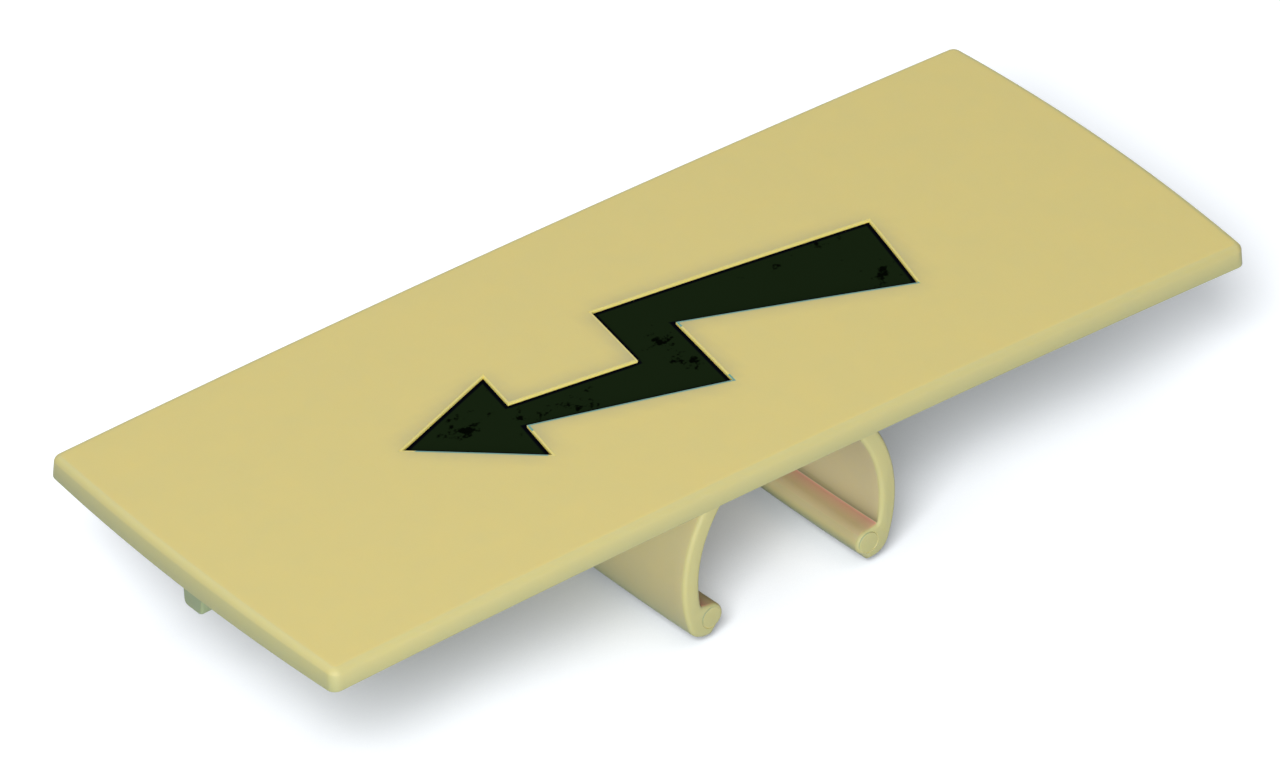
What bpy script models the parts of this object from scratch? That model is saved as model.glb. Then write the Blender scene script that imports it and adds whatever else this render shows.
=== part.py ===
"""Clip-on warning marker for a row of terminal blocks, for Blender 4.5.

A thin crowned plate carries a stamped lightning arrow on its face. Under it stand two bowed
clip jaws with beaded lips, which snap over the ridge of the blocks, and a stiffening rib runs
from each jaw to the end of the plate. Plate, jaws and ribs are one moulding.

The marker stands on its jaws on Z = 0, centred on the origin, with its length along X.
"""

import math

import bmesh
import bpy
from mathutils import Vector

MM = 0.001

# Plate
LENGTH = 52.0 * MM
WIDTH = 20.4 * MM
EDGE_THICKNESS = 1.1 * MM
WIDTH_CROWN = 0.15 * MM  # rise of the face from the long edges to the middle
LENGTH_CROWN = 0.37 * MM  # drop of face and underside from the middle to the ends
END_BOW = 0.43 * MM  # how far the middle of each end stands out past its corners
CORNER_RADIUS = 0.42 * MM
FACE_ROUND = 0.3 * MM
DRAFT = math.radians(3.0)
PLATE_COLUMNS = 17
PLATE_ROWS = 8

# Clip jaws, with heights measured up from the feet
JAW_DEPTH = 7.32 * MM  # from the underside of the plate down to the feet, at the ends of the jaws
JAW_BOW = 0.35 * MM  # how much deeper the jaws are halfway along
JAW_WALL = 0.9 * MM
JAW_INSET = 0.59 * MM  # from each long edge of the plate
CLIP_WIDTH = 10.18 * MM  # inside, where the jaws are widest apart
WIDEST_HEIGHT = 3.0 * MM
JAW_LEAN = 1.7 * MM  # how far each jaw closes in from its widest place up to its root
LIP_REACH = 1.31 * MM  # how far each lip stands in past the widest place
LIP_RADIUS = 0.64 * MM
LIP_HEIGHT = 0.96 * MM
FOOT_RADIUS = 1.0 * MM
FOOT_FLAT = 0.25 * MM
ROOT_FILLET = 0.3 * MM
JAW_EDGE_ROUND = 0.12 * MM
JAW_ROWS = 9

# Stiffening ribs
RIB_WIDTH = 1.35 * MM
RIB_DEPTH = 1.5 * MM
RIB_INSET = 0.55 * MM  # from each end of the plate
RIB_ROUND = 0.3 * MM

# Lightning arrow, drawn for a span of 1 from the tip at the left to the tail at the right
ARROW_SPAN = 26.9 * MM
ARROW_OUTLINE = [
    (0.492, 0.048), (0.444, -0.139), (0.057, 0.017), (0.029, -0.167), (-0.311, -0.057), (-0.329, -0.146),
    (-0.508, 0.015), (-0.284, 0.092), (-0.299, 0.007), (-0.058, -0.031), (-0.033, 0.124),
]
STAMP_DEPTH = 0.2 * MM
FILM_THICKNESS = 0.06 * MM
FILM_CLEARANCE = 0.02 * MM

SMOOTH_UP_TO = math.radians(35)
PLATE_THICKNESS = EDGE_THICKNESS + WIDTH_CROWN
UNDERSIDE = JAW_DEPTH + JAW_BOW
FACE = UNDERSIDE + PLATE_THICKNESS
ROOT_BITE = EDGE_THICKNESS / 2  # how far jaws and ribs run up into the plate
JAW_RUN = WIDTH - 2 * JAW_INSET
JAW_RISE = JAW_DEPTH - WIDEST_HEIGHT
JAW_RADIUS = (JAW_LEAN ** 2 + JAW_RISE ** 2) / (2 * JAW_LEAN)  # inside of the jaws' arc
ARC_CENTRE = Vector((CLIP_WIDTH / 2 - JAW_RADIUS, WIDEST_HEIGHT))
LIP_TOP = LIP_HEIGHT + LIP_RADIUS


def clear_scene():
    for old in list(bpy.data.objects):
        bpy.data.objects.remove(old, do_unlink=True)


def new_collection(name):
    collection = bpy.data.collections.new(name)
    bpy.context.scene.collection.children.link(collection)
    return collection


def plastic(name, colour, roughness):
    material = bpy.data.materials.new(name)
    material.use_nodes = True
    shader = material.node_tree.nodes["Principled BSDF"]
    shader.inputs["Base Color"].default_value = (*colour, 1.0)
    shader.inputs["Roughness"].default_value = roughness
    shader.inputs["Metallic"].default_value = 0.0
    return material


def smooth_where_round(mesh):
    mesh.shade_smooth()
    mesh.set_sharp_from_angle(angle=SMOOTH_UP_TO)


def object_from_bmesh(name, bm, collection):
    mesh = bpy.data.meshes.new(name)
    bm.to_mesh(mesh)
    bm.free()
    smooth_where_round(mesh)
    made = bpy.data.objects.new(name, mesh)
    collection.objects.link(made)
    return made


def as_evaluated_mesh(source):
    """The object's mesh as its modifiers leave it, or as its curve is filled."""
    bpy.context.view_layer.update()
    return bpy.data.meshes.new_from_object(source.evaluated_get(bpy.context.evaluated_depsgraph_get()))


def make_tool(tool):
    """Marks an object as one that is joined to, or cut from, a visible piece."""
    tool.hide_render = True
    tool.display_type = "WIRE"
    return tool


def cut_in_rows(bm, axis, size, count):
    """Cuts a shape into even rows across one axis, so that it can be bent along that axis."""
    normal = Vector((0, 0, 0))
    normal[axis] = 1.0
    for row in range(1, count):
        place = normal * (row / count - 0.5) * size
        geometry = bm.verts[:] + bm.edges[:] + bm.faces[:]
        bmesh.ops.bisect_plane(bm, geom=geometry, plane_co=place, plane_no=normal, dist=1e-8)


def crown(bm):
    """Crowns the face, drops the ends and bows the end outlines of a shape drawn flat."""
    cut_in_rows(bm, 0, LENGTH, PLATE_COLUMNS)
    cut_in_rows(bm, 1, WIDTH, PLATE_ROWS)
    for vert in bm.verts:
        along = vert.co.x / (LENGTH / 2)
        across = vert.co.y / (WIDTH / 2)
        height = max(0.0, (vert.co.z - UNDERSIDE) / PLATE_THICKNESS)
        vert.co.x *= 1.0 - END_BOW / (LENGTH / 2) * across ** 2
        vert.co.z -= LENGTH_CROWN * along ** 2 + WIDTH_CROWN * height * across ** 2


def add_box(bm, low, high):
    """Adds a box between two corners and returns its vertices."""
    verts = bmesh.ops.create_cube(bm, size=1.0)["verts"]
    bmesh.ops.scale(bm, verts=verts, vec=high - low)
    bmesh.ops.translate(bm, verts=verts, vec=(high + low) / 2)
    return verts


def round_edges(bm, edges, radius, segments):
    bmesh.ops.bevel(bm, geom=edges, offset=radius, segments=segments, profile=0.5, affect="EDGES")


def build_plate(collection):
    """The plate alone: a drafted box with round corners and a round upper rim, then crowned."""
    bm = bmesh.new()
    corner = Vector((LENGTH / 2, WIDTH / 2, 0))
    verts = add_box(bm, Vector((-corner.x, -corner.y, UNDERSIDE)), Vector((corner.x, corner.y, FACE)))
    lean = PLATE_THICKNESS * math.tan(DRAFT)
    mid_height = (UNDERSIDE + FACE) / 2
    for vert in verts:
        if vert.co.z > mid_height:
            vert.co.x -= math.copysign(lean, vert.co.x)
            vert.co.y -= math.copysign(lean, vert.co.y)
    upright = [edge for edge in bm.edges if abs(edge.verts[0].co.z - edge.verts[1].co.z) > lean]
    round_edges(bm, upright, CORNER_RADIUS, 5)
    rim = [edge for edge in bm.edges if min(vert.co.z for vert in edge.verts) > mid_height]
    round_edges(bm, rim, min(FACE_ROUND, 0.9 * CORNER_RADIUS), 4)
    crown(bm)
    return object_from_bmesh("marker_plate", bm, collection)


def build_rib(name, side, collection):
    """The rib on one side, from inside the wall of the jaw to just short of the plate's end."""
    wall_middle = place_on_arc(JAW_RADIUS + JAW_WALL / 2, JAW_DEPTH - RIB_DEPTH / 2).x
    ends = [side * wall_middle, side * (LENGTH / 2 - RIB_INSET)]
    bm = bmesh.new()
    low = Vector((min(ends), -RIB_WIDTH / 2, UNDERSIDE - RIB_DEPTH))
    high = Vector((max(ends), RIB_WIDTH / 2, UNDERSIDE + ROOT_BITE))
    add_box(bm, low, high)
    lower = [edge for edge in bm.edges if max(vert.co.z for vert in edge.verts) < UNDERSIDE]
    round_edges(bm, lower, RIB_ROUND, 3)
    crown(bm)
    return make_tool(object_from_bmesh(name, bm, collection))


def place_on_arc(radius, height):
    """The place at a height on the right-hand side of a circle round the centre of the jaw's arc."""
    rise = height - ARC_CENTRE.y
    return Vector((ARC_CENTRE.x + math.sqrt(radius ** 2 - rise ** 2), height))


def arc(centre, radius, start, end, steps):
    """Points on an arc from one angle to another, both ends included."""
    angles = [start + (end - start) * step / steps for step in range(steps + 1)]
    return [centre + radius * Vector((math.cos(angle), math.sin(angle))) for angle in angles]


def angle_at(place, centre):
    return math.atan2(place.y - centre.y, place.x - centre.x)


def jaw_outline():
    """Outline of the right jaw's end in X and Z, from its outer root down round foot and lip."""
    outer_radius = JAW_RADIUS + JAW_WALL
    outer_root = place_on_arc(outer_radius + ROOT_FILLET, JAW_DEPTH - ROOT_FILLET)
    inner_root = place_on_arc(JAW_RADIUS - ROOT_FILLET, JAW_DEPTH - ROOT_FILLET)
    foot = place_on_arc(outer_radius - FOOT_RADIUS, FOOT_RADIUS)
    lip = Vector((CLIP_WIDTH / 2 - LIP_REACH + LIP_RADIUS, LIP_HEIGHT))
    heel = place_on_arc(JAW_RADIUS, LIP_TOP + 0.2 * LIP_RADIUS)

    outer_start = angle_at(outer_root, ARC_CENTRE)
    outer_end = angle_at(foot, ARC_CENTRE)
    inner_start = angle_at(heel, ARC_CENTRE)
    inner_end = angle_at(inner_root, ARC_CENTRE)
    top = JAW_DEPTH + ROOT_BITE
    down, up = -math.pi / 2, math.pi / 2

    points = [Vector((outer_root.x, top))]
    points += arc(outer_root, ROOT_FILLET, up, outer_start + math.pi, 4)
    points += arc(ARC_CENTRE, outer_radius, outer_start, outer_end, 20)[1:]
    points += arc(foot, FOOT_RADIUS, outer_end, down, 7)[1:]
    points.append(Vector((foot.x - FOOT_FLAT, 0)))
    points += arc(lip, LIP_RADIUS, math.radians(240), math.radians(95), 12)
    points += arc(ARC_CENTRE, JAW_RADIUS, inner_start, inner_end, 18)
    points += arc(inner_root, ROOT_FILLET, inner_end, up, 4)[1:]
    points.append(Vector((inner_root.x, top)))
    return points


def filled_outline(name, outline, thickness, collection):
    """A closed outline in X and Y, extruded evenly to both sides of Z = 0."""
    curve = bpy.data.curves.new(name, "CURVE")
    curve.dimensions = "2D"
    curve.fill_mode = "BOTH"
    curve.extrude = thickness / 2
    spline = curve.splines.new("POLY")
    spline.points.add(len(outline) - 1)
    for point, place in zip(spline.points, outline):
        point.co = (place.x, place.y, 0, 1)
    spline.use_cyclic_u = True
    drawn = bpy.data.objects.new(name, curve)
    collection.objects.link(drawn)
    mesh = as_evaluated_mesh(drawn)
    bpy.data.objects.remove(drawn, do_unlink=True)
    bm = bmesh.new()
    bm.from_mesh(mesh)
    bpy.data.meshes.remove(mesh)
    bmesh.ops.remove_doubles(bm, verts=bm.verts[:], dist=1e-7)
    bmesh.ops.recalc_face_normals(bm, faces=bm.faces[:])
    return bm


def build_jaws(collection):
    """The right jaw, run across the plate and deepened halfway along, and its mirrored twin."""
    bm = filled_outline("jaws", jaw_outline(), JAW_RUN, collection)
    for vert in bm.verts:
        vert.co = Vector((vert.co.x, -vert.co.z, vert.co.y))
    cut_in_rows(bm, 1, JAW_RUN, JAW_ROWS)
    wall_above_lip = JAW_DEPTH - LIP_TOP - LIP_RADIUS
    for vert in bm.verts:
        across = vert.co.y / (JAW_RUN / 2)
        share = min(1.0, max(0.0, (JAW_DEPTH - vert.co.z) / wall_above_lip))
        vert.co.z += JAW_BOW - JAW_BOW * share * (1.0 - across ** 2)
    bmesh.ops.recalc_face_normals(bm, faces=bm.faces[:])
    jaws = object_from_bmesh("jaws", bm, collection)
    soft = jaws.modifiers.new("soft_edges", "BEVEL")
    soft.width = JAW_EDGE_ROUND
    soft.segments = 3
    soft.limit_method = "ANGLE"
    soft.angle_limit = math.radians(65)
    twin = jaws.modifiers.new("twin", "MIRROR")
    twin.use_mirror_merge = False
    return make_tool(jaws)


def grown(outline, distance):
    """A clockwise outline with each of its sides moved out by a distance."""
    moved = []
    for index, corner in enumerate(outline):
        before = (corner - outline[index - 1]).normalized()
        after = (outline[(index + 1) % len(outline)] - corner).normalized()
        outward = Vector((-before.y - after.y, before.x + after.x))
        moved.append(corner + outward * (2 * distance / outward.length_squared))
    return moved


def build_crowned_sheet(name, outline, low, high, collection):
    """A sheet between two heights, crowned as the plate is."""
    bm = filled_outline(name, outline, high - low, collection)
    bmesh.ops.translate(bm, verts=bm.verts[:], vec=(0, 0, (low + high) / 2))
    crown(bm)
    return object_from_bmesh(name, bm, collection)


def combine(target, tool, operation):
    step = target.modifiers.new(tool.name, "BOOLEAN")
    step.operation = operation
    step.object = tool


def settle(target):
    """Replaces an object's mesh with the result of its modifiers, shaded smooth where round."""
    mesh = as_evaluated_mesh(target)
    target.modifiers.clear()
    target.data = mesh
    smooth_where_round(mesh)


def main():
    clear_scene()
    marker = new_collection("warning_marker")
    tools = new_collection("marker_tools")

    plate = build_plate(marker)
    combine(plate, build_rib("rib_right", 1, tools), "UNION")
    combine(plate, build_rib("rib_left", -1, tools), "UNION")
    combine(plate, build_jaws(tools), "UNION")

    arrow = [Vector(point) * ARROW_SPAN for point in ARROW_OUTLINE]
    stamp_outline = grown(arrow, FILM_CLEARANCE)
    stamp_floor = FACE - STAMP_DEPTH
    stamp = build_crowned_sheet("arrow_stamp", stamp_outline, stamp_floor, FACE + STAMP_DEPTH, tools)
    combine(plate, make_tool(stamp), "DIFFERENCE")
    settle(plate)
    film_floor = stamp_floor + FILM_CLEARANCE
    film = build_crowned_sheet("lightning_arrow", arrow, film_floor, film_floor + FILM_THICKNESS, marker)

    plate.data.materials.append(plastic("moulded_yellow", (0.672, 0.565, 0.235), 0.5))
    film.data.materials.append(plastic("black_print", (0.010, 0.014, 0.007), 0.4))


main()
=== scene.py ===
"""A clip-on warning marker for terminal blocks, standing on its jaws on a white table."""

import math

import bmesh
import bpy
from mathutils import Matrix, Vector
from mathutils.geometry import intersect_point_line


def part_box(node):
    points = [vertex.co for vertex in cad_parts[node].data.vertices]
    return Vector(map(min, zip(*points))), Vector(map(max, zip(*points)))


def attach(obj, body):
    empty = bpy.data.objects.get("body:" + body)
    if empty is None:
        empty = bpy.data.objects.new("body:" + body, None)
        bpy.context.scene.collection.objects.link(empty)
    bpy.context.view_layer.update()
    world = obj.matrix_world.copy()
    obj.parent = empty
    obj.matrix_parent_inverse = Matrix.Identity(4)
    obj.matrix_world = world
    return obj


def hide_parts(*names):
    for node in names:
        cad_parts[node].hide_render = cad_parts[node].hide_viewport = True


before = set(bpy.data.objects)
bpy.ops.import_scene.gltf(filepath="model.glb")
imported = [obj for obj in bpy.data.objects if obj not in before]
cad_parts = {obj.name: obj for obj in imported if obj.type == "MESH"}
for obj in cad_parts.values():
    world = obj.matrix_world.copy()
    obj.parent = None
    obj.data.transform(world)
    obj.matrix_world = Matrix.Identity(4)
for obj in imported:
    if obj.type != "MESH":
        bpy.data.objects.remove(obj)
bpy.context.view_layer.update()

# Crowned plate
# The plate of the marker is a thin lid of yellow polyamide, moulded with a slight pillow shape so
# that it doesn't sink flat as it cools. It is a drafted block with soft corners and a round upper
# rim, cut into half-millimetre rows and then crowned.
mm = 0.001
micron = 0.001 * mm
plate_low, plate_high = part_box("marker_plate")
plate_length = plate_high.x - plate_low.x
plate_width = plate_high.y - plate_low.y
face_height = plate_high.z
edge_thickness = 1.1 * mm
width_crown = 0.15 * mm
length_crown = 0.37 * mm
end_bow = 0.43 * mm
corner_radius = 0.42 * mm
rim_radius = 0.34 * mm
lower_edge_radius = 0.06 * mm
draft = math.radians(3.0)
plate_row = 0.5 * mm
smooth_up_to = math.radians(35)
plate_thickness = edge_thickness + width_crown
underside = face_height - plate_thickness


def cut_in_rows(bm, axis, size, spacing):
    """Cuts a shape into even rows across one axis, so that it bends smoothly along it."""
    normal = Vector((0, 0, 0))
    normal[axis] = 1.0
    count = round(size / spacing)
    for row in range(1, count):
        bmesh.ops.bisect_plane(
            bm,
            geom=bm.verts[:] + bm.edges[:] + bm.faces[:],
            plane_co=normal * (row / count - 0.5) * size,
            plane_no=normal,
            dist=0.01 * micron,
        )


def crown(bm):
    """Drops the ends and long edges of a shape drawn flat, and bows its end outlines."""
    for vert in bm.verts:
        along = vert.co.x / (plate_length / 2)
        across = vert.co.y / (plate_width / 2)
        height = max(0.0, (vert.co.z - underside) / plate_thickness)
        vert.co.x *= 1.0 - end_bow / (plate_length / 2) * across ** 2
        vert.co.z -= length_crown * along ** 2 + width_crown * height * across ** 2


def round_over(bm, edges, radius, segments):
    bmesh.ops.bevel(
        bm,
        geom=edges,
        offset=radius,
        segments=segments,
        profile=0.5,
        affect="EDGES",
        material=-1,
    )


def add_object(name, bm):
    """Closes a bmesh into an object of the scene, smooth where it is round and crisp elsewhere."""
    mesh = bpy.data.meshes.new(name)
    bm.to_mesh(mesh)
    bm.free()
    mesh.shade_smooth()
    mesh.set_sharp_from_angle(angle=smooth_up_to)
    made = bpy.data.objects.new(name, mesh)
    bpy.context.scene.collection.objects.link(made)
    return made


bm = bmesh.new()
bmesh.ops.create_cube(bm, size=1.0)
bmesh.ops.scale(bm, vec=(plate_length, plate_width, plate_thickness), verts=bm.verts)
bmesh.ops.translate(bm, vec=(0, 0, underside + plate_thickness / 2), verts=bm.verts)
lean = plate_thickness * math.tan(draft)
upper = [vert for vert in bm.verts if vert.co.z > face_height - plate_thickness / 2]
bmesh.ops.scale(bm, vec=(1 - 2 * lean / plate_length, 1 - 2 * lean / plate_width, 1), verts=upper)
upright = [edge for edge in bm.edges if abs(edge.verts[0].co.z - edge.verts[1].co.z) > lean]
round_over(bm, upright, corner_radius, 8)
rim = [edge for edge in bm.edges if min(vert.co.z for vert in edge.verts) > face_height - lean]
round_over(bm, rim, rim_radius, 7)
lower_rim = [edge for edge in bm.edges if max(vert.co.z for vert in edge.verts) < underside + lean]
round_over(bm, lower_rim, lower_edge_radius, 2)
cut_in_rows(bm, 0, plate_length, plate_row)
cut_in_rows(bm, 1, plate_width, plate_row)
crown(bm)
marker_body = add_object("marker_body", bm)

# Clip jaws
# Two springy jaws hang from the plate and snap over the ridge of the terminal blocks. Each is a
# bowed wall that ends in a round bead, moulded in one with the plate. The end outline is drawn
# with spun arcs, run across the plate, grooved round the bead's ends and deepened halfway along.
jaw_bow = 0.35 * mm
jaw_depth = underside - jaw_bow
jaw_wall = 0.9 * mm
jaw_inset = 0.59 * mm
clip_width = 10.18 * mm
widest_height = 3.0 * mm
jaw_lean = 1.7 * mm
lip_reach = 1.31 * mm
lip_radius = 0.64 * mm
lip_height = 0.96 * mm
foot_radius = 1.0 * mm
foot_flat = 0.25 * mm
root_fillet = 0.3 * mm
heel_fillet = 0.12 * mm
jaw_edge_round = 0.22 * mm
bead_radius = 0.53 * mm
groove_radius = 0.04 * mm
jaw_row = 0.8 * mm
root_bite = edge_thickness / 2
jaw_run = plate_width - 2 * jaw_inset
jaw_rise = jaw_depth - widest_height
jaw_radius = (jaw_lean ** 2 + jaw_rise ** 2) / (2 * jaw_lean)
arc_centre = Vector((clip_width / 2 - jaw_radius, 0, widest_height))
lip_top = lip_height + lip_radius


def place_on_arc(radius, height):
    """The place at a height on the outer side of a circle round the centre of the jaw's bow."""
    rise = height - arc_centre.z
    return Vector((arc_centre.x + math.sqrt(radius ** 2 - rise ** 2), 0, height))


def step_to(bm, vert, place):
    """Draws a straight line on from a vertex and returns the vertex at its end."""
    drawn = bmesh.ops.extrude_vert_indiv(bm, verts=[vert])["verts"][0]
    drawn.co = place
    return drawn


def spin_on(bm, vert, centre, axis, angle, steps):
    """Draws an arc on from a vertex round a centre and returns the vertex at its end."""
    spun = bmesh.ops.spin(bm, geom=[vert], cent=centre, axis=axis, angle=angle, steps=steps)
    return [part for part in spun["geom_last"] if isinstance(part, bmesh.types.BMVert)][0]


def angle_between(start, end, centre):
    """The shorter turn about +Y that carries one place round a centre to the side of another."""
    first = math.atan2(start.z - centre.z, start.x - centre.x)
    last = math.atan2(end.z - centre.z, end.x - centre.x)
    return math.remainder(first - last, 2 * math.pi)


def combine(target, tool, operation):
    """Joins a tool to an object, or cuts it out, for good."""
    step = target.modifiers.new(tool.name, "BOOLEAN")
    step.operation = operation
    step.solver = "MANIFOLD"
    step.object = tool
    bpy.context.view_layer.update()
    evaluated = target.evaluated_get(bpy.context.evaluated_depsgraph_get())
    result = bpy.data.meshes.new_from_object(evaluated)
    target.modifiers.clear()
    target.data = result
    result.name = target.name
    bpy.data.objects.remove(tool, do_unlink=True)


outer_radius = jaw_radius + jaw_wall
outer_root = place_on_arc(outer_radius + root_fillet, jaw_depth - root_fillet)
inner_root = place_on_arc(jaw_radius - root_fillet, jaw_depth - root_fillet)
foot = place_on_arc(outer_radius - foot_radius, foot_radius)
lip = Vector((clip_width / 2 - lip_reach + lip_radius, 0, lip_height))
heel_height = lip_top + 0.2 * lip_radius
heel = place_on_arc(jaw_radius, heel_height)
lip_start = math.radians(240)
lip_end = math.radians(95)
along_y = Vector((0, 1, 0))
straight_up = Vector((0, 0, 1))

bm = bmesh.new()
pen = bm.verts.new((outer_root.x, 0, jaw_depth + root_bite))
pen = step_to(bm, pen, outer_root + straight_up * root_fillet)
turn = angle_between(pen.co, arc_centre, outer_root)
pen = spin_on(bm, pen, outer_root, along_y, turn, 8)
pen = spin_on(bm, pen, arc_centre, along_y, angle_between(pen.co, foot, arc_centre), 48)
pen = spin_on(bm, pen, foot, along_y, angle_between(pen.co, foot - straight_up, foot), 14)
pen = step_to(bm, pen, Vector((foot.x - foot_flat, 0, 0)))
lip_edge = Vector((math.cos(lip_start), 0, math.sin(lip_start))) * lip_radius
pen = step_to(bm, pen, lip + lip_edge)
pen = spin_on(bm, pen, lip, along_y, lip_start - lip_end, 24)
pen = step_to(bm, pen, heel)
pen = spin_on(bm, pen, arc_centre, along_y, angle_between(heel, inner_root, arc_centre), 44)
turn = angle_between(pen.co, inner_root + straight_up, inner_root)
pen = spin_on(bm, pen, inner_root, along_y, turn, 8)
pen = step_to(bm, pen, Vector((inner_root.x, 0, jaw_depth + root_bite)))
bm.verts.ensure_lookup_table()
bm.edges.new((pen, bm.verts[0]))
bmesh.ops.translate(bm, vec=along_y * -jaw_run / 2, verts=bm.verts)
end_face = bmesh.ops.contextual_create(bm, geom=bm.edges[:])["faces"]
extruded = bmesh.ops.extrude_face_region(bm, geom=end_face)["geom"]
far_end = [part for part in extruded if isinstance(part, bmesh.types.BMVert)]
bmesh.ops.translate(bm, vec=along_y * jaw_run, verts=far_end)
bmesh.ops.recalc_face_normals(bm, faces=bm.faces)
heel_edges = [
    edge for edge in bm.edges
    if all((vert.co.xz - heel.xz).length < micron for vert in edge.verts)
]
round_over(bm, heel_edges, heel_fillet, 5)
end_edges = [
    edge for edge in bm.edges
    if abs(edge.verts[0].co.y + edge.verts[1].co.y) > 0.99 * jaw_run
]
round_over(bm, end_edges, jaw_edge_round, 5)
jaws = add_object("jaws", bm)

bm = bmesh.new()
groove_start = Matrix.Translation(lip + Vector((bead_radius, -jaw_run / 2, 0)))
bmesh.ops.create_circle(bm, radius=groove_radius, segments=10, matrix=groove_start)
bmesh.ops.spin(
    bm,
    geom=bm.verts[:] + bm.edges[:],
    cent=lip,
    axis=along_y,
    angle=2 * math.pi,
    steps=40,
    use_merge=True,
)
bmesh.ops.mirror(bm, geom=bm.verts[:] + bm.edges[:] + bm.faces[:], merge_dist=0, axis="Y")
bmesh.ops.recalc_face_normals(bm, faces=bm.faces)
combine(jaws, add_object("bead_grooves", bm), "DIFFERENCE")

bm = bmesh.new()
bm.from_mesh(jaws.data)
bpy.data.objects.remove(jaws, do_unlink=True)
cut_in_rows(bm, 1, jaw_run, jaw_row)
wall_above_lip = jaw_depth - lip_top - lip_radius
for vert in bm.verts:
    across = vert.co.y / (jaw_run / 2)
    share = min(1.0, max(0.0, (jaw_depth - vert.co.z) / wall_above_lip))
    vert.co.z += jaw_bow - (jaw_bow - plate_low.z) * share * (1.0 - across ** 2)
bmesh.ops.mirror(bm, geom=bm.verts[:] + bm.edges[:] + bm.faces[:], merge_dist=0, axis="X")
bmesh.ops.recalc_face_normals(bm, faces=bm.faces)
jaws = add_object("jaws", bm)

# Stiffening ribs
# A low rib runs under each wing of the plate, from the root of the jaw to just short of the end,
# and keeps the wing from bending. It is part of the same moulding: an outline with round lower
# corners and flared roots, extruded along the wing.
rib_width = 1.35 * mm
rib_depth = 1.5 * mm
rib_inset = 0.55 * mm
rib_round = 0.3 * mm
rib_flare = 0.2 * mm
rib_end_round = 0.12 * mm
rib_row = 1.0 * mm
rib_floor = underside - rib_depth
rib_start = place_on_arc(jaw_radius + jaw_wall / 2, jaw_depth - rib_depth / 2).x
rib_end = plate_length / 2 - rib_inset
along_x = Vector((1, 0, 0))

bm = bmesh.new()
pen = bm.verts.new((rib_start, -rib_width / 2 - rib_flare, underside + root_bite))
pen = step_to(bm, pen, Vector((rib_start, pen.co.y, underside)))
flare = pen.co - straight_up * rib_flare
pen = spin_on(bm, pen, flare, along_x, -math.pi / 2, 5)
pen = step_to(bm, pen, Vector((rib_start, pen.co.y, rib_floor + rib_round)))
pen = spin_on(bm, pen, pen.co + along_y * rib_round, along_x, math.pi / 2, 6)
pen = step_to(bm, pen, Vector((rib_start, 0, rib_floor)))
bmesh.ops.mirror(bm, geom=bm.verts[:] + bm.edges[:], merge_dist=micron / 10, axis="Y")
top = [vert for vert in bm.verts if vert.co.z > underside + root_bite / 2]
bm.edges.new(top)
rib_face = bmesh.ops.contextual_create(bm, geom=bm.edges[:])["faces"]
extruded = bmesh.ops.extrude_face_region(bm, geom=rib_face)["geom"]
far_end = [part for part in extruded if isinstance(part, bmesh.types.BMVert)]
bmesh.ops.translate(bm, vec=along_x * (rib_end - rib_start), verts=far_end)
bmesh.ops.recalc_face_normals(bm, faces=bm.faces)
end_edges = [
    edge for edge in bm.edges
    if min(vert.co.x for vert in edge.verts) > rib_end - micron
    and max(vert.co.z for vert in edge.verts) < underside - rib_flare + micron
]
round_over(bm, end_edges, rib_end_round, 4)
bmesh.ops.mirror(bm, geom=bm.verts[:] + bm.edges[:] + bm.faces[:], merge_dist=0, axis="X")
bmesh.ops.recalc_face_normals(bm, faces=bm.faces)
cut_in_rows(bm, 0, plate_length, rib_row)
crown(bm)
ribs = add_object("ribs", bm)

# Stamp and joining
# The lightning arrow is hot stamped, which presses its outline a fifth of a millimetre into the
# face and leaves a fine shoulder round it. The stamp here is the arrow's outline, a little larger
# than the film of print, and is cut from the face once the plate, jaws and ribs are one solid.
arrow_low, arrow_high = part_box("lightning_arrow")
arrow_span = arrow_high.x - arrow_low.x
arrow_outline = [
    (0.492, 0.048), (0.444, -0.139), (0.057, 0.017), (0.029, -0.167),
    (-0.311, -0.057), (-0.329, -0.146), (-0.508, 0.015), (-0.284, 0.092),
    (-0.299, 0.007), (-0.058, -0.031), (-0.033, 0.124),
]
stamp_depth = 0.2 * mm
film_clearance = 0.02 * mm
film_thickness = 0.06 * mm
shoulder_width = 0.1 * mm
shoulder_depth = 0.015 * mm
stamp_row = 1.0 * mm


def arrow_sheet(grow, border, low, high):
    """A sheet of the arrow's outline between two heights, grown and with a border of faces."""
    bm = bmesh.new()
    points = [Vector((x, y, 0)) * arrow_span + straight_up * low for x, y in arrow_outline]
    corners = []
    for before, here, after in zip(points[-1:] + points[:-1], points, points[1:] + points[:1]):
        out_before = straight_up.cross(here - before).normalized()
        out_after = straight_up.cross(after - here).normalized()
        mitre = (out_before + out_after) / (1 + out_before.dot(out_after))
        corners.append(bm.verts.new(here + mitre * grow))
    sheet = bm.faces.new(corners)
    if border:
        bm.normal_update()
        bmesh.ops.inset_region(
            bm,
            faces=[sheet],
            thickness=border,
            use_boundary=True,
            use_even_offset=True,
        )
    extruded = bmesh.ops.extrude_face_region(bm, geom=bm.faces[:])["geom"]
    raised = [part for part in extruded if isinstance(part, bmesh.types.BMVert)]
    bmesh.ops.translate(bm, vec=straight_up * (high - low), verts=raised)
    bmesh.ops.recalc_face_normals(bm, faces=bm.faces)
    return bm


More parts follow.
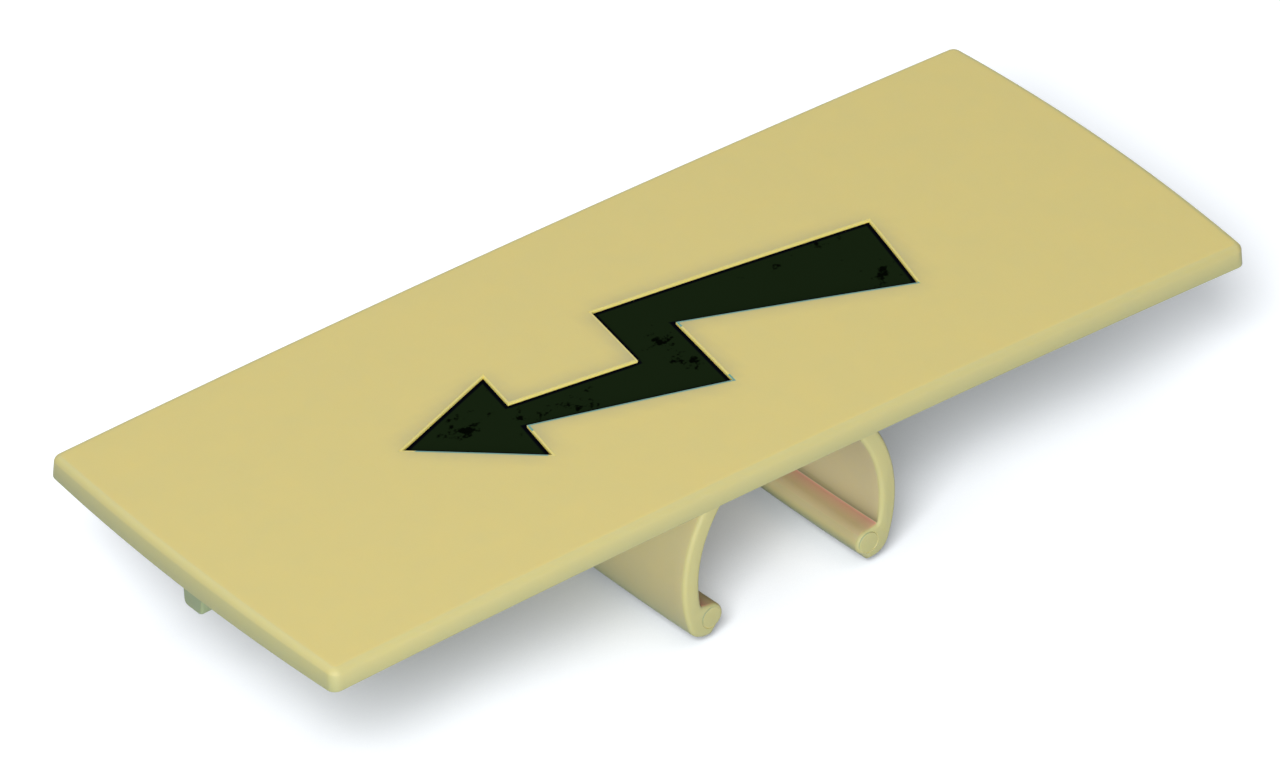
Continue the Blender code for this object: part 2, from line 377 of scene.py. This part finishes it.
combine(marker_body, ribs, "UNION")
combine(marker_body, jaws, "UNION")
stamps = ((film_clearance + shoulder_width, shoulder_depth), (film_clearance, stamp_depth))
for grow, depth in stamps:
    bm = arrow_sheet(grow, 0, face_height - depth, face_height + stamp_depth)
    cut_in_rows(bm, 0, plate_length, stamp_row)
    cut_in_rows(bm, 1, plate_width, stamp_row)
    crown(bm)
    combine(marker_body, add_object("stamp", bm), "DIFFERENCE")
marker_body.data.shade_smooth()
marker_body.data.set_sharp_from_angle(angle=smooth_up_to)


# Moulded polyamide 66, coloured through, from a mould with a fine spark-eroded finish. It gives the
# eye an even, silky matt yellow with soft edges, because a little light passes under the surface.
def linear(hex_colour):
    """An sRGB hex colour as the linear RGBA that a shader takes."""
    values = [int(hex_colour[place:place + 2], 16) / 255 for place in (1, 3, 5)]
    return [v / 12.92 if v <= 0.04045 else ((v + 0.055) / 1.055) ** 2.4 for v in values] + [1.0]


def node(tree, kind, settings=None, links=None, **inputs):
    """Adds a shader node with its settings, input values and links from other nodes' outputs."""
    made = tree.nodes.new(kind)
    for key, value in (settings or {}).items():
        setattr(made, key, value)
    for key, value in inputs.items():
        made.inputs[key.replace("_", " ")].default_value = value
    for key, output in (links or {}).items():
        tree.links.new(output, made.inputs[key])
    return made


def write_attribute(mesh, name, value_at):
    """Keeps a value for each corner of a mesh, from its place, its normal and its whole face."""
    kept = mesh.attributes.new(name, "FLOAT", "CORNER")
    for polygon in mesh.polygons:
        face = [mesh.vertices[index].co for index in polygon.vertices]
        middle = sum(face, Vector()) / len(face)
        for corner, place in zip(polygon.loop_indices, face):
            normal = mesh.corner_normals[corner].vector
            kept.data[corner].value = value_at(place, normal, middle, face)


# Reaches of the painted light and shade that the attributes below carry.
wall_crease_shade_width = 0.35 * mm
lip_crease_bounce_width = 0.15 * mm
lip_bounce_glow_width = 0.8 * mm
foot_shade_fade = 1.0 * mm
rib_shade_fade = 4.0 * mm
print_shade_reach = 1.1 * mm


def depth_below_plate(place):
    return underside - length_crown * (place.x / (plate_length / 2)) ** 2 - place.z


def depth_below_face(place):
    along = place.x / (plate_length / 2)
    across = place.y / (plate_width / 2)
    return face_height - length_crown * along ** 2 - width_crown * across ** 2 - place.z


def near_foot(place):
    """1 at the lower edge of a bowed jaw, fading to 0 above it."""
    return math.exp(-max(0.0, place.z - jaw_bow * (place.y / (jaw_run / 2)) ** 2) / foot_shade_fade)


def hangs(middle):
    """Whether a face belongs to the jaws or the ribs, which hang from the plate."""
    return depth_below_plate(middle) > 20 * micron


def on_rib(middle):
    beyond_jaw = abs(middle.x) > clip_width / 2 + jaw_wall
    return beyond_jaw and abs(middle.y) < rib_width / 2 + rib_flare and hangs(middle)


def inside_clip(normal, middle):
    """Whether a surface is one of those of the jaws and lips that look at each other."""
    beyond_wall = abs(middle.x) > clip_width / 2 + jaw_wall / 2
    if beyond_wall or not hangs(middle) or abs(normal.y) > 0.5:
        return False
    on_lip = abs(middle.x) < heel.x and middle.z < heel.z + jaw_bow and normal.z > -0.5
    return on_lip or middle.x * normal.x < 0


def facing_shade(place, normal, middle, face):
    """Painted shade, from -1 to 1: how far a surface faces up, less at sides, ends, feet, ribs and
    grooves.
    """
    if on_rib(middle):
        past_jaw = (abs(place.x) - clip_width / 2 - jaw_wall) / rib_shade_fade
        return -0.4 - 0.6 * min(1.0, max(0.0, past_jaw))
    if not hangs(middle):
        return max(-0.5, normal.z) - 0.35 * abs(normal.x) - 0.15 * abs(normal.y)
    # Painted shade: each bead groove is deepened in colour on its upper left side only.
    from_bead = Vector((middle.x - math.copysign(lip.x, middle.x), middle.z - lip.z - jaw_bow))
    in_ring = abs(from_bead.length - bead_radius) < groove_radius
    if in_ring and 0 < jaw_run / 2 - abs(middle.y) - micron < groove_radius:
        return -0.17 - 0.7 * max(0.0, from_bead.normalized().dot(Vector((-0.7, 0.7))))
    if abs(normal.y) > 0.2:
        return -0.17 - 0.3 * near_foot(place)
    if inside_clip(normal, middle) and middle.z < heel.z + jaw_bow:
        return max(-1.0, 1.3 * normal.z - 0.35)
    return max(-0.5, normal.z) - 0.9 * near_foot(place)


def jaw_painted_light(place, normal, middle, face):
    """Painted light on the jaw walls: 1 inside the clip and 0.5 outside it, fading towards the
    lower edges.
    """
    depth = depth_below_plate(place)
    if abs(normal.y) > 0.2 or depth < 0 or on_rib(middle):
        return 0.0
    if not inside_clip(normal, middle):
        return 0.5 * (1 - near_foot(place)) * min(1.0, depth / (2 * root_fillet))
    turned_down = 0.0 if middle.z > heel.z + jaw_bow else max(0.0, 0.5 - normal.z)
    return max(0.0, 1.0 - 1.6 * turned_down) * (1 - near_foot(place))


def crease_shade_and_bounce(place, normal, middle, face):
    """Painted bounce light from 1 on the lip and painted shade from -1 on the wall, fading to 0
    away from their crease.
    """
    if not inside_clip(normal, middle):
        return 0.0
    bowed = jaw_bow * (place.y / (jaw_run / 2)) ** 2
    gap = math.hypot(abs(place.x) - heel.x, place.z - heel.z - bowed)
    if abs(normal.x) > normal.z and place.z - bowed > lip.z:
        return -math.exp(-gap / wall_crease_shade_width)
    return 0.7 * math.exp(-gap / lip_crease_bounce_width) + 0.25 * math.exp(-gap / lip_bounce_glow_width)


def inside_arrow(x, y):
    """Counts the outline's sides beyond a place to tell whether it is inside."""
    inside = False
    for (x1, y1), (x2, y2) in zip(arrow_outline, arrow_outline[1:] + arrow_outline[:1]):
        if (y1 > y) != (y2 > y) and x < x1 + (y - y1) * (x2 - x1) / (y2 - y1):
            inside = not inside
    return inside


def print_halo_shade(place, normal, middle, face):
    """Painted shade round the arrow: the share of the face round a place that is stamped."""
    if normal.z < 0.5 or abs(place.x) > 0.6 * arrow_span or abs(place.y) > 0.3 * arrow_span:
        return 0.0
    found = 0
    for turn in range(12):
        for reach in (0.3, 0.6, 0.9):
            x = place.x + print_shade_reach * reach * math.cos(turn * math.pi / 6)
            y = place.y + print_shade_reach * reach * math.sin(turn * math.pi / 6)
            found += inside_arrow(x / arrow_span, y / arrow_span)
    return found / 36


def outline_gap(place):
    """How far a place is from the arrow's outline, and which way is out there."""
    spot = Vector((place.x, place.y, 0))
    gaps = []
    for start, end in zip(arrow_outline, arrow_outline[1:] + arrow_outline[:1]):
        start, end = Vector((*start, 0)) * arrow_span, Vector((*end, 0)) * arrow_span
        nearest, share = intersect_point_line(spot, start, end)
        nearest = start if share < 0 else end if share > 1 else nearest
        gaps.append(((nearest - spot).length, straight_up.cross(end - start).normalized()))
    return min(gaps, key=lambda gap: gap[0])


def stamp_edge_highlight_and_shade(place, normal, middle, face):
    """Painted highlight, 1 on the stamp's walls and 0.6 on its shoulder; painted shade, -1 along
    the front sides; 0 elsewhere.
    """
    depths = [depth_below_face(spot) for spot in face]
    gap, outward = outline_gap(middle)
    too_high = min(depths) < shoulder_depth / 2
    too_low = max(depths) > stamp_depth + shoulder_depth
    if gap > 4 * shoulder_width or too_high or too_low:
        return 0.0
    if max(depths) > 2 * shoulder_depth:
        return 1.0 if min(depths) < 2 * shoulder_depth else 0.0
    toward_front = Vector((-math.sin(0.67), -math.cos(0.67), 0))
    return -1.0 if outward.dot(toward_front) > 0.75 else 0.6


write_attribute(marker_body.data, "facing_shade", facing_shade)
write_attribute(marker_body.data, "jaw_painted_light", jaw_painted_light)
write_attribute(marker_body.data, "crease_shade_and_bounce", crease_shade_and_bounce)
write_attribute(marker_body.data, "print_halo_shade", print_halo_shade)
write_attribute(marker_body.data, "stamp_edge_highlight_and_shade", stamp_edge_highlight_and_shade)

polyamide = bpy.data.materials.new("moulded_yellow_polyamide")
polyamide.use_nodes = True
tree = polyamide.node_tree
plastic = tree.nodes["Principled BSDF"]
plastic.inputs["IOR"].default_value = 1.53
plastic.inputs["Specular IOR Level"].default_value = 0.3
plastic.inputs["Roughness"].default_value = 0.5
plastic.inputs["Subsurface Weight"].default_value = 0.3
plastic.inputs["Subsurface Radius"].default_value = (1.0, 0.8, 0.35)
plastic.inputs["Subsurface Scale"].default_value = 0.5 * mm
place = node(tree, "ShaderNodeTexCoord").outputs["Object"]
side = node(tree, "ShaderNodeAttribute", {"attribute_name": "facing_shade"}).outputs["Fac"]
upness = node(tree, "ShaderNodeMapRange", links={"Value": side}, From_Min=-1.0, From_Max=1.0)
# Painted shade: the ramp turns the colour darker and greener where surfaces face down or sideways,
# near the feet and under the plate, and warmer on top.
shade_ramp = node(tree, "ShaderNodeValToRGB", links={"Fac": upness.outputs["Result"]})
shade_tones = ((0.0, "#97A680"), (0.5, "#D1C98C"), (0.95, "#D0C88A"), (0.99, "#DCCC7F"), (1.0, "#DCCC7F"))
for stop, colour in shade_tones:
    known = shade_ramp.color_ramp.elements
    element = known[0] if stop == 0.0 else known[-1] if stop == 1.0 else known.new(stop)
    element.color = linear(colour)


def tinted(base, attribute_name, above, below):
    """Mixes one colour in where an attribute is above 0, and another where it is below 0."""
    amount = node(tree, "ShaderNodeAttribute", {"attribute_name": attribute_name}).outputs["Fac"]
    for colour, sign in ((above, 1.0), (below, -1.0)):
        share = node(tree, "ShaderNodeMath", {"operation": "MULTIPLY", "use_clamp": True})
        tree.links.new(amount, share.inputs[0])
        share.inputs[1].default_value = sign
        mix = node(tree, "ShaderNodeMix", {"data_type": "RGBA"}, {"Factor": share.outputs[0]})
        tree.links.new(base, mix.inputs[6])
        mix.inputs[7].default_value = linear(colour)
        base = mix.outputs[2]
    return base


# Painted light: a paler beige on the jaw walls, which lie in shade under the plate.
base = tinted(shade_ramp.outputs["Color"], "jaw_painted_light", "#DACDA0", "#DACDA0")
# Painted bounce light in reddish pink on the lip and painted shade in dark olive on the wall, along
# the crease between them.
base = tinted(base, "crease_shade_and_bounce", "#E28C88", "#857D60")
# Painted shade: a darker, greyer band round the arrow.
base = tinted(base, "print_halo_shade", "#A8A37E", "#A8A37E")
# Painted highlight in bright yellow on the stamp's walls and shoulder, and painted shade in teal
# along its front sides.
base = tinted(base, "stamp_edge_highlight_and_shade", "#F2E27F", "#68A096")
cloud = node(tree, "ShaderNodeTexNoise", links={"Vector": place}, Scale=1 / (1.6 * mm), Detail=3.0)
mottle = node(tree, "ShaderNodeMix", {"data_type": "RGBA"}, {"Factor": cloud.outputs["Fac"]})
mottle.inputs[6].default_value = (0.96, 0.98, 1.03, 1)
mottle.inputs[7].default_value = (1.03, 1.01, 0.97, 1)
mottled = node(tree, "ShaderNodeMix", {"data_type": "RGBA", "blend_type": "MULTIPLY"})
mottled.inputs[0].default_value = 1.0
tree.links.new(base, mottled.inputs[6])
tree.links.new(mottle.outputs[2], mottled.inputs[7])
tree.links.new(mottled.outputs[2], plastic.inputs["Base Color"])
grain = node(tree, "ShaderNodeTexNoise", links={"Vector": place}, Scale=1 / (0.14 * mm), Detail=2.0)
height = {"Height": grain.outputs["Fac"]}
bump = node(tree, "ShaderNodeBump", links=height, Strength=0.5, Distance=6 * micron)
tree.links.new(bump.outputs["Normal"], plastic.inputs["Normal"])
marker_body.data.materials.clear()
marker_body.data.materials.append(polyamide)
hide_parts("marker_plate")
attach(marker_body, "root")

# Lightning arrow
# The arrow is a film of black pigment foil that the hot stamp leaves at the bottom of its recess.
# It is a sheet with a hair's breadth round it, whose top lies a little below the face.
film_floor = face_height - stamp_depth + film_clearance
film_top = film_floor + film_thickness
edge_strip = 0.3 * mm
pressed_spots = [(-0.375, 0.0), (0.003, -0.012), (0.01, -0.06)]
pressed_radius = 1.1 * mm

bm = arrow_sheet(0, edge_strip, film_floor, film_top)
cut_in_rows(bm, 0, plate_length, stamp_row)
cut_in_rows(bm, 1, plate_width, stamp_row)
crown(bm)
arrow_film = add_object("arrow_film", bm)


def film_edge(place, normal, middle, face):
    """1 along the edge of the film, down to 0 further in."""
    return max(0.0, 1.0 - outline_gap(place)[0] / edge_strip)


def pressed(place, normal, middle, face):
    """1 at the few spots where the foil was pressed hardest, fading to 0 round them."""
    x, y = place.x / arrow_span, place.y / arrow_span
    gap = min(math.hypot(x - spot_x, y - spot_y) for spot_x, spot_y in pressed_spots)
    return math.exp(-(gap * arrow_span / pressed_radius) ** 2)


write_attribute(arrow_film.data, "film_edge", film_edge)
write_attribute(arrow_film.data, "pressed", pressed)

# Hot-stamping foil, matt black with a green cast. It lies thicker in small patches and along its
# edges, where the eye sees it nearly pure black.
foil = bpy.data.materials.new("stamped_black_foil")
foil.use_nodes = True
tree = foil.node_tree
print_shader = tree.nodes["Principled BSDF"]
print_shader.inputs["IOR"].default_value = 1.45
print_shader.inputs["Roughness"].default_value = 0.6
print_shader.inputs["Specular IOR Level"].default_value = 0.0
place = node(tree, "ShaderNodeTexCoord").outputs["Object"]
patches = node(
    tree,
    "ShaderNodeTexNoise",
    links={"Vector": place},
    Scale=1 / (1.6 * mm),
    Detail=4.0,
    Roughness=0.75,
)
pressed_amount = node(tree, "ShaderNodeAttribute", {"attribute_name": "pressed"}).outputs["Fac"]
thinness = node(tree, "ShaderNodeMath", {"operation": "MULTIPLY_ADD"})
tree.links.new(pressed_amount, thinness.inputs[0])
thinness.inputs[1].default_value = -0.2
tree.links.new(patches.outputs["Fac"], thinness.inputs[2])
ramp = node(tree, "ShaderNodeValToRGB", links={"Fac": thinness.outputs[0]})
ramp.color_ramp.elements[0].position = 0.32
ramp.color_ramp.elements[0].color = linear("#040703")
ramp.color_ramp.elements[1].position = 0.37
ramp.color_ramp.elements[1].color = linear("#172311")
foil_edge = node(tree, "ShaderNodeAttribute", {"attribute_name": "film_edge"}).outputs["Fac"]
rim = node(tree, "ShaderNodeMapRange", links={"Value": foil_edge}, From_Min=0.25, From_Max=0.5)
edged = node(tree, "ShaderNodeMix", {"data_type": "RGBA"}, {"Factor": rim.outputs["Result"]})
tree.links.new(ramp.outputs["Color"], edged.inputs[6])
edged.inputs[7].default_value = linear("#06070E")
tree.links.new(edged.outputs[2], print_shader.inputs["Base Color"])
arrow_film.data.materials.append(foil)
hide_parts("lightning_arrow")
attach(arrow_film, "root")

# Table
# A seamless table of matt white board, large enough to have no edge in view. It stays white where
# nothing shades it, keeps the soft shadow of the marker, and throws only a little light back at it.
bm = bmesh.new()
bmesh.ops.create_grid(bm, x_segments=1, y_segments=1, size=3.0)
bmesh.ops.translate(bm, vec=(0, 0, plate_low.z), verts=bm.verts)
table = add_object("table", bm)
white_board = bpy.data.materials.new("matt_white_board")
white_board.use_nodes = True
tree = white_board.node_tree
seen = node(tree, "ShaderNodeLightPath")
mirrored = node(tree, "ShaderNodeMath", {"operation": "MAXIMUM"})
tree.links.new(seen.outputs["Is Glossy Ray"], mirrored.inputs[0])
tree.links.new(seen.outputs["Is Transmission Ray"], mirrored.inputs[1])
in_view = node(tree, "ShaderNodeMath", {"operation": "MAXIMUM"})
tree.links.new(seen.outputs["Is Camera Ray"], in_view.inputs[0])
tree.links.new(mirrored.outputs[0], in_view.inputs[1])
board = node(tree, "ShaderNodeMix", {"data_type": "RGBA"}, {"Factor": in_view.outputs[0]})
board.inputs[6].default_value = linear("#595959")
board.inputs[7].default_value = linear("#F3F6FA")
# Painted contact shade: ambient occlusion within 9 mm darkens the board by half round the jaws and
# under the plate.
contact_shade = node(
    tree,
    "ShaderNodeAmbientOcclusion",
    {"samples": 8},
    {"Color": board.outputs[2]},
    Distance=9.0 * mm,
)
shaded = node(tree, "ShaderNodeMix", {"data_type": "RGBA"})
shaded.inputs[0].default_value = 0.5
tree.links.new(board.outputs[2], shaded.inputs[6])
tree.links.new(contact_shade.outputs["Color"], shaded.inputs[7])
tree.links.new(shaded.outputs[2], tree.nodes["Principled BSDF"].inputs["Base Color"])
tree.nodes["Principled BSDF"].inputs["Roughness"].default_value = 0.9
tree.nodes["Principled BSDF"].inputs["Specular IOR Level"].default_value = 0.0
glow = node(tree, "ShaderNodeEmission", links={"Strength": in_view.outputs[0]})
glow.inputs["Color"].default_value = linear("#797C7F")
both = node(tree, "ShaderNodeAddShader")
tree.links.new(tree.nodes["Principled BSDF"].outputs[0], both.inputs[0])
tree.links.new(glow.outputs[0], both.inputs[1])
tree.links.new(both.outputs[0], tree.nodes["Material Output"].inputs["Surface"])
table.data.materials.append(white_board)

# Studio light
# A softbox behind the marker, and a window and a small card of light in front of it, are flagged
# off the table, which has a lamp of its own beside the camera. The white room fills the rest.
def seen_from(turn, elevation, distance):
    """A place round the marker, by its turn to the left of the front and its height in degrees."""
    turn, elevation = math.radians(turn), math.radians(elevation)
    return Vector((
        -math.cos(elevation) * math.sin(turn),
        -math.cos(elevation) * math.cos(turn),
        math.sin(elevation),
    )) * distance


def lamp(name, place, width, height, watts, lit):
    """An area light at a place, turned to face the marker, that falls only on the objects listed.
    """
    panel = bpy.data.lights.new(name, "AREA")
    panel.shape = "RECTANGLE"
    panel.size = width
    panel.size_y = height
    panel.energy = watts
    hung = bpy.data.objects.new(name, panel)
    hung.location = place
    from_marker = place - Vector((0, 0, face_height / 2))
    hung.rotation_euler = from_marker.to_track_quat("Z", "Y").to_euler()
    bpy.context.scene.collection.objects.link(hung)
    reached = bpy.data.collections.new(name + "_reach")
    for piece in lit:
        reached.objects.link(piece)
    hung.light_linking.receiver_collection = reached


lamp("back_softbox", seen_from(190, 55, 900 * mm), 1.0, 0.8, 5.15, [marker_body, arrow_film])
lamp("front_window", seen_from(40, 20, 900 * mm), 0.8, 0.5, 4.6, [marker_body, arrow_film])
lamp("front_card", seen_from(34, 12, 220 * mm), 0.16, 0.08, 0.22, [marker_body, arrow_film])
lamp("table_lamp", seen_from(49.5, 41.5, 800 * mm), 0.38, 0.38, 9.1, [table])

room = bpy.data.worlds.new("white_room")
bpy.context.scene.world = room
room.use_nodes = True
room.node_tree.nodes["Background"].inputs["Color"].default_value = linear("#FFFFFF")
room.node_tree.nodes["Background"].inputs["Strength"].default_value = 0.26

# Camera
# A long lens well back from the marker, looking down over its front left corner. The places are
# those that lay the marker's corners, jaws and arrow where the photograph has them.
lens = 367.58
view_elevation = 35.611
view_turn = 38.491
view_distance = 574.7 * mm
aim_right = -0.633 * mm
aim_up = -1.833 * mm
toward_camera = seen_from(view_turn, view_elevation, 1.0)
right = straight_up.cross(toward_camera).normalized()
aim = Vector((0, 0, face_height)) + right * aim_right + toward_camera.cross(right) * aim_up
camera_data = bpy.data.cameras.new("camera")
camera_data.lens = lens
camera_data.sensor_width = 36
camera_data.clip_start = 0.05
camera_data.clip_end = 20
camera = bpy.data.objects.new("camera", camera_data)
camera.location = aim + toward_camera * view_distance
camera.rotation_euler = toward_camera.to_track_quat("Z", "Y").to_euler()
bpy.context.scene.collection.objects.link(camera)
bpy.context.scene.camera = camera
bpy.context.scene.view_settings.view_transform = "Standard"
